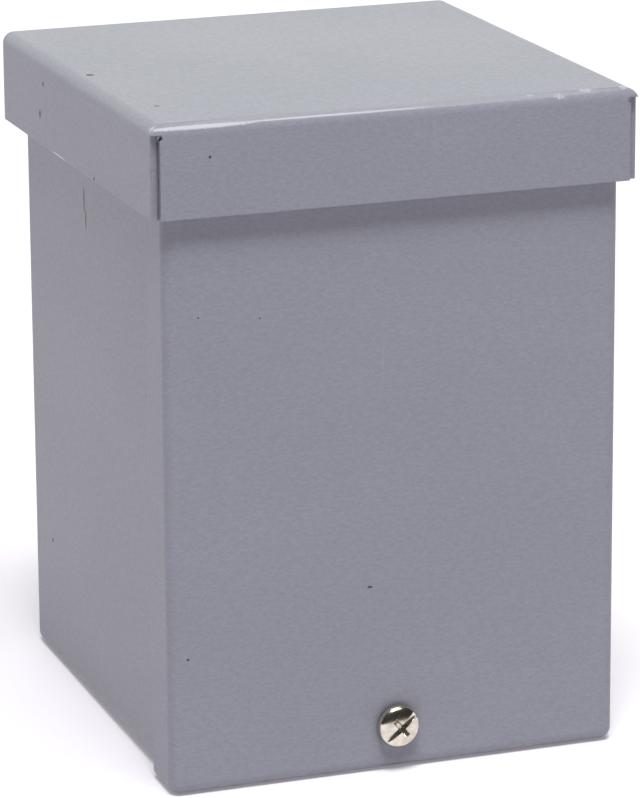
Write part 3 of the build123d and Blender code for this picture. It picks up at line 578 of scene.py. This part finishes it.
def taperedCutter(centre, length, width, floorLength, floorWidth, front, depth, angle):
    # a cutter for one arm of a recess, narrower at its floor
    shape = bmesh.new()
    turn = Matrix.Rotation(angle, 3, "Y")
    corners = []
    for halfLength, halfWidth, along in ((length / 2, width / 2, front),
                                         (floorLength / 2, floorWidth / 2, front + depth)):
        for x, z in ((-1, -1), (1, -1), (1, 1), (-1, 1)):
            flat = turn @ Vector((x * halfLength, 0, z * halfWidth))
            corners.append(shape.verts.new(centre + flat + Vector((0, along, 0))))
    for quad in ((0, 1, 2, 3), (7, 6, 5, 4), (0, 4, 5, 1), (1, 5, 6, 2), (2, 6, 7, 3), (3, 7, 4, 0)):
        shape.faces.new([corners[corner] for corner in quad])
    return finishMesh("recessCutter", shape, finishes["zinc_steel"])


def cutFrom(piece, cutters):
    # subtracts the cutters and keeps the result as the piece's own mesh
    for cutter in cutters:
        modifier = piece.modifiers.new("recess", "BOOLEAN")
        modifier.operation = "DIFFERENCE"
        modifier.solver = "EXACT"
        modifier.object = cutter
    bpy.context.view_layer.update()
    shaped = bpy.data.meshes.new_from_object(piece.evaluated_get(bpy.context.evaluated_depsgraph_get()))
    piece.modifiers.clear()
    piece.data = shaped
    for cutter in cutters:
        bpy.data.objects.remove(cutter)
    shape = bmesh.new()
    shape.from_mesh(shaped)
    sharpenEdges(shape, turningSettings["cutSmoothAngle"])
    shape.to_mesh(shaped)
    shape.free()


def buildScrew(node, body, want):
    # stands for the node, with the same axis, ends and largest radius
    low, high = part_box(node)
    centre = Vector(((low.x + high.x) / 2, 0, (low.z + high.z) / 2))
    radius = (high.z - low.z) / 2
    steps = want["steps"]
    front, seat = low.y, low.y + want["headHeight"]
    shape = bmesh.new()
    if want["headHeight"]:
        rod = want["rodRadius"]
        domeBack = seat - want["rim"]
        profile = [(front, 0.0)]
        for row in range(1, want["domeRows"] + 1):
            angle = math.pi / 2 * row / want["domeRows"]
            profile.append((domeBack - (domeBack - front) * math.cos(angle), radius * math.sin(angle)))
        profile += [(seat - want["easing"], radius), (seat, radius - want["easing"])]
        threadStart = seat
    else:
        rod = radius
        profile = [(front, 0.0), (front, rod - want["easing"])]
        threadStart = front + want["easing"]
    rings = [addRing(shape, centre, along, size, steps) for along, size in profile]
    rings += threadRings(shape, centre, rod, want, threadStart, high.y - want["tip"])
    rings += [addRing(shape, centre, high.y, rod - want["tip"] * want["tipSlope"], steps),
              addRing(shape, centre, high.y, 0.0, steps)]
    joinRings(shape, rings, steps)
    screw = finishMesh(node + "_turned", shape, finishes[slotOfNode[node]])
    lift, flare = turningSettings["lift"], turningSettings["flare"]
    cutters = []
    for arm in want["arms"]:
        slope = math.radians(-arm["angle"])
        length = arm.get("length", turningSettings["across"] * radius)
        cutters.append(taperedCutter(centre, length * flare, arm["width"], length * arm.get("taper", flare),
                                     arm["floorWidth"], front - lift, arm["depth"] + lift, slope))
    cutFrom(screw, cutters)
    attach(screw, body)
    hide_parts(node)


coverScrewSettings = {
    "steps": 96, "headHeight": 3.0 * mm, "rim": 1.1 * mm, "easing": 0.18 * mm, "domeRows": 14,
    "rodRadius": 2.4 * mm, "pitch": 0.79 * mm, "threadDepth": 0.42 * mm, "tip": 0.8 * mm, "tipSlope": 0.7,
    # one long slot with a cross recess on it, turned to where the screw was left
    "arms": [
        {"angle": 40, "width": 1.15 * mm, "floorWidth": 1.0 * mm, "depth": 1.2 * mm},
        {"angle": 40, "width": 1.3 * mm, "floorWidth": 0.7 * mm, "depth": 2.1 * mm, "length": 4.9 * mm,
         "taper": 0.3},
        {"angle": 130, "width": 1.3 * mm, "floorWidth": 0.7 * mm, "depth": 2.1 * mm, "length": 4.9 * mm,
         "taper": 0.3},
    ],
}
lugScrewSettings = {
    "steps": 72, "headHeight": 0, "easing": 0.5 * mm, "pitch": 1.06 * mm, "threadDepth": 0.5 * mm,
    "tip": 0.5 * mm, "tipSlope": 1.0,
    "arms": [{"angle": 0, "width": 1.3 * mm, "floorWidth": 1.2 * mm, "depth": 1.6 * mm}],
}
groundScrewSettings = {
    "steps": 72, "headHeight": 2.2 * mm, "rim": 1.5 * mm, "easing": 0.12 * mm, "domeRows": 8,
    "rodRadius": 2.3 * mm, "pitch": 0.79 * mm, "threadDepth": 0.38 * mm, "tip": 0.4 * mm, "tipSlope": 0.8,
    "arms": [{"angle": 0, "width": 1.2 * mm, "floorWidth": 1.1 * mm, "depth": 1.1 * mm}],
}

buildScrew("cover_screw", "screw", coverScrewSettings)
for side in ("left", "right"):
    for end in ("line", "load"):
        buildScrew(f"{end}_lug_screw_{side}", f"{end}_screw_{side}", lugScrewSettings)
    buildScrew(f"ground_screw_{side}", f"ground_screw_{side}", groundScrewSettings)
print("disconnect box: seven screws turned and threaded")


# ---- paint bridging the slots at the hood's front corners

slotSettings = {
    "sheet": 1.5 * mm, "slot": 0.3 * mm, "closedTop": 2.0 * mm, "depth": 0.7 * mm, "rows": 36,
    "play": 0.008 * mm,                  # keeps the bead off the faces beside it
    "sunk": 0.05, "ripple": 0.04,        # in millimetres
    "rippleWaves": (17, 5), "ripplePhase": 1,
    # the bead's section: across in half widths, back in depths
    "outline": [(-1.0, 1.0), (-1.0, 0.05), (-0.55, 0.02), (0.0, 0.0), (0.55, 0.02), (1.0, 0.05), (1.0, 1.0)],
    # rows that spread into the bend relief, and how far they reach inwards and forwards
    "reliefRows": 3, "reliefReach": 0.6 * mm, "reliefFill": 1.0 * mm,
}


def fillSlot(name, direction):
    # a wavy bead of coating that closes the narrow gap behind the two cut edges
    want = slotSettings
    half = want["slot"] / 2 - want["play"]
    middle = direction * (hoodHigh.x - want["sheet"] - want["slot"] / 2)
    front = hoodLow.y + want["sheet"] + want["play"]
    bottom, top = hoodLow.z + want["play"], hoodHigh.z - want["closedTop"] - want["play"]
    quick, slow = want["rippleWaves"]
    shape = bmesh.new()
    rows = []
    for row in range(want["rows"] + 1):
        share = row / want["rows"]
        ripple = want["ripple"] * math.sin(share * quick) * math.sin(share * slow + want["ripplePhase"])
        sunk = (want["sunk"] + ripple) * mm
        # near its top the bead spreads inwards and forwards, and fills the bend relief
        nearTop = max(0.0, 1 - (want["rows"] - row) / want["reliefRows"])
        pooled = math.sin(nearTop * math.pi / 2)
        height = bottom + (top - bottom) * share
        ring = []
        for across, back in want["outline"]:
            inwards = want["reliefReach"] * pooled if across * direction < 0 else 0.0
            forwards = want["reliefFill"] * pooled if back < 1.0 else 0.0
            ring.append(shape.verts.new((middle + across * half - direction * inwards,
                                         front + sunk + back * want["depth"] - forwards, height)))
        rows.append(ring)
    joinRings(shape, rows, len(want["outline"]))
    shape.faces.new(rows[0])
    shape.faces.new(rows[-1])
    bead = finishMesh(name, shape, finishes["enclosure_paint"])
    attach(bead, "enclosure")


fillSlot("hood_slot_bead_left", -1)
fillSlot("hood_slot_bead_right", 1)
print("disconnect box: hood's corner slots bridged")


# ---- floor, light and camera

floorSettings = {
    "reach": 12.0, "cells": 24,          # half width in metres, and cells each way
    "clearance": 0.05 * mm,
    "rearFold": 2.6 * mm,                # the body's corner is rounded behind this
    "pale": (0.74, 0.72, 0.757, 1), "palest": (0.77, 0.75, 0.787, 1), "cloudSize": 0.4,
    # it glows faintly, which keeps the shadows light
    "finish": {"Roughness": 0.9, "Specular IOR Level": 0.2, "Emission Color": (1.0, 0.98, 1.02, 1),
               "Emission Strength": 0.2},
}


def addFloor():
    # the box leans back a little on its cover's lower fold and its own rear edge
    want = floorSettings
    frontRest = coverHigh.y
    rearRest = bodyHigh.y - want["rearFold"]
    slope = (bodyLow.z - coverLow.z) / (rearRest - frontRest)
    reach, cells = want["reach"], want["cells"]
    shape = bmesh.new()
    grid = []
    for row in range(cells + 1):
        y = reach * (2 * row / cells - 1)
        height = (y - frontRest) * slope - want["clearance"]
        grid.append([shape.verts.new((reach * (2 * column / cells - 1), y, height))
                     for column in range(cells + 1)])
    for row in range(cells):
        for column in range(cells):
            shape.faces.new([grid[row][column], grid[row][column + 1], grid[row + 1][column + 1],
                             grid[row + 1][column]])
    material, tree, shader, place = newMaterial("paleFloor", want["finish"])
    cloud = noise(tree, place, want["cloudSize"], detail=3.0)
    wire(tree, shader, {"Base Color": mixColour(tree, cloud, want["pale"], want["palest"])})
    finishMesh("studioFloor", shape, material)


# soft windows of light in a dark room: azimuth from the front, to the right, and elevation in degrees
windowSettings = {
    "key": {"azimuth": (-45, 0), "elevation": (60, 75), "strength": 28.7, "colour": (1.0, 0.985, 1.0, 1)},
    "keyRight": {"azimuth": (0, 48), "elevation": (59, 75), "strength": 8.6, "colour": (1.0, 1.0, 1.0, 1)},
    "above": {"azimuth": (-45, 45), "elevation": (75, 89), "strength": 10.2, "colour": (1.0, 0.99, 1.0, 1)},
    "sweep": {"azimuth": (135, 225), "elevation": (-5, 30), "strength": 1.5, "colour": (0.98, 1.02, 0.98, 1)},
    "room": {"azimuth": (-180, 180), "elevation": (-5, 92), "strength": 0.04, "colour": (1.0, 0.94, 0.96, 1)},
    "sweepTop": {"azimuth": (135, 225), "elevation": (30, 60), "strength": 0.25,
                 "colour": (1.0, 1.0, 1.0, 1)},
}
windowEdge = 3.0                         # degrees over which a window fades out
backdropColour = (1.0, 1.0, 1.0, 1)      # what the camera sees past the floor


def windowMask(tree, azimuth, elevation, want):
    # one between the window's azimuths and elevations, nothing outside, with soft edges
    left, right = want["azimuth"]
    low, high = want["elevation"]
    turned = calc(tree, "SUBTRACT", azimuth, (left + right) / 2)
    around = calc(tree, "WRAP", turned, 180.0, -180.0)
    aside = calc(tree, "SUBTRACT", calc(tree, "ABSOLUTE", around), (right - left) / 2)
    below = calc(tree, "SUBTRACT", low, elevation)
    over = calc(tree, "SUBTRACT", elevation, high)
    outside = calc(tree, "MAXIMUM", aside, calc(tree, "MAXIMUM", below, over))
    return ramp(tree, outside, windowEdge / 2, -windowEdge / 2)


def addWorld():
    world = bpy.data.worlds.new("studio")
    bpy.context.scene.world = world
    world.use_nodes = True
    tree = world.node_tree
    tree.nodes.clear()
    towards = put(tree, "SeparateXYZ", None, {0: put(tree, "TexCoord").outputs["Generated"]})
    forward = calc(tree, "MULTIPLY", towards.outputs["Y"], -1.0)
    azimuth = calc(tree, "DEGREES", calc(tree, "ARCTAN2", towards.outputs["X"], forward))
    elevation = calc(tree, "DEGREES", calc(tree, "ARCSINE", towards.outputs["Z"]))
    backdrop = put(tree, "Background", None, {"Color": backdropColour})
    total = None
    for want in windowSettings.values():
        strength = calc(tree, "MULTIPLY", windowMask(tree, azimuth, elevation, want), want["strength"])
        light = put(tree, "Background", None, {"Color": want["colour"], "Strength": strength}).outputs[0]
        total = light if total is None else put(tree, "AddShader", None, {0: total, 1: light}).outputs[0]
    seen = put(tree, "LightPath").outputs["Is Camera Ray"]
    both = put(tree, "MixShader", None, {0: seen, 1: total, 2: backdrop.outputs[0]})
    put(tree, "OutputWorld", None, {"Surface": both.outputs[0]})


cameraSettings = {
    "azimuth": -19.767,
    "elevation": 15.58,
    "roll": -0.384,
    "distance": 1.0,
    "aim": (-5.421 * mm, -19.528 * mm, 1.796 * mm),    # from the middle of the frame's box
    "lens": 202.04, "sensorWidth": 36,
    "clip": (0.01, 50),
}


def addCamera():
    want = cameraSettings
    azimuth, elevation, roll = (math.radians(want[key]) for key in ("azimuth", "elevation", "roll"))
    back = Vector((math.sin(azimuth) * math.cos(elevation), -math.cos(azimuth) * math.cos(elevation),
                   math.sin(elevation)))
    right = Vector((math.cos(azimuth), math.sin(azimuth), 0))
    up = back.cross(right)
    rightRolled = math.cos(roll) * right + math.sin(roll) * up
    upRolled = -math.sin(roll) * right + math.cos(roll) * up
    lens = bpy.data.cameras.new("camera")
    lens.lens = want["lens"]
    lens.sensor_width = want["sensorWidth"]
    lens.clip_start, lens.clip_end = want["clip"]
    camera = bpy.data.objects.new("camera", lens)
    turn = Matrix((rightRolled, upRolled, back)).transposed()
    place = (Vector(frameBox[0]) + Vector(frameBox[1])) / 2 + Vector(want["aim"]) + want["distance"] * back
    camera.matrix_world = Matrix.Translation(place) @ turn.to_4x4()
    bpy.context.scene.collection.objects.link(camera)
    bpy.context.scene.camera = camera


addFloor()
addWorld()
addCamera()
bpy.context.scene.view_settings.view_transform = "Standard"
print("disconnect box: floor, lights and camera placed")
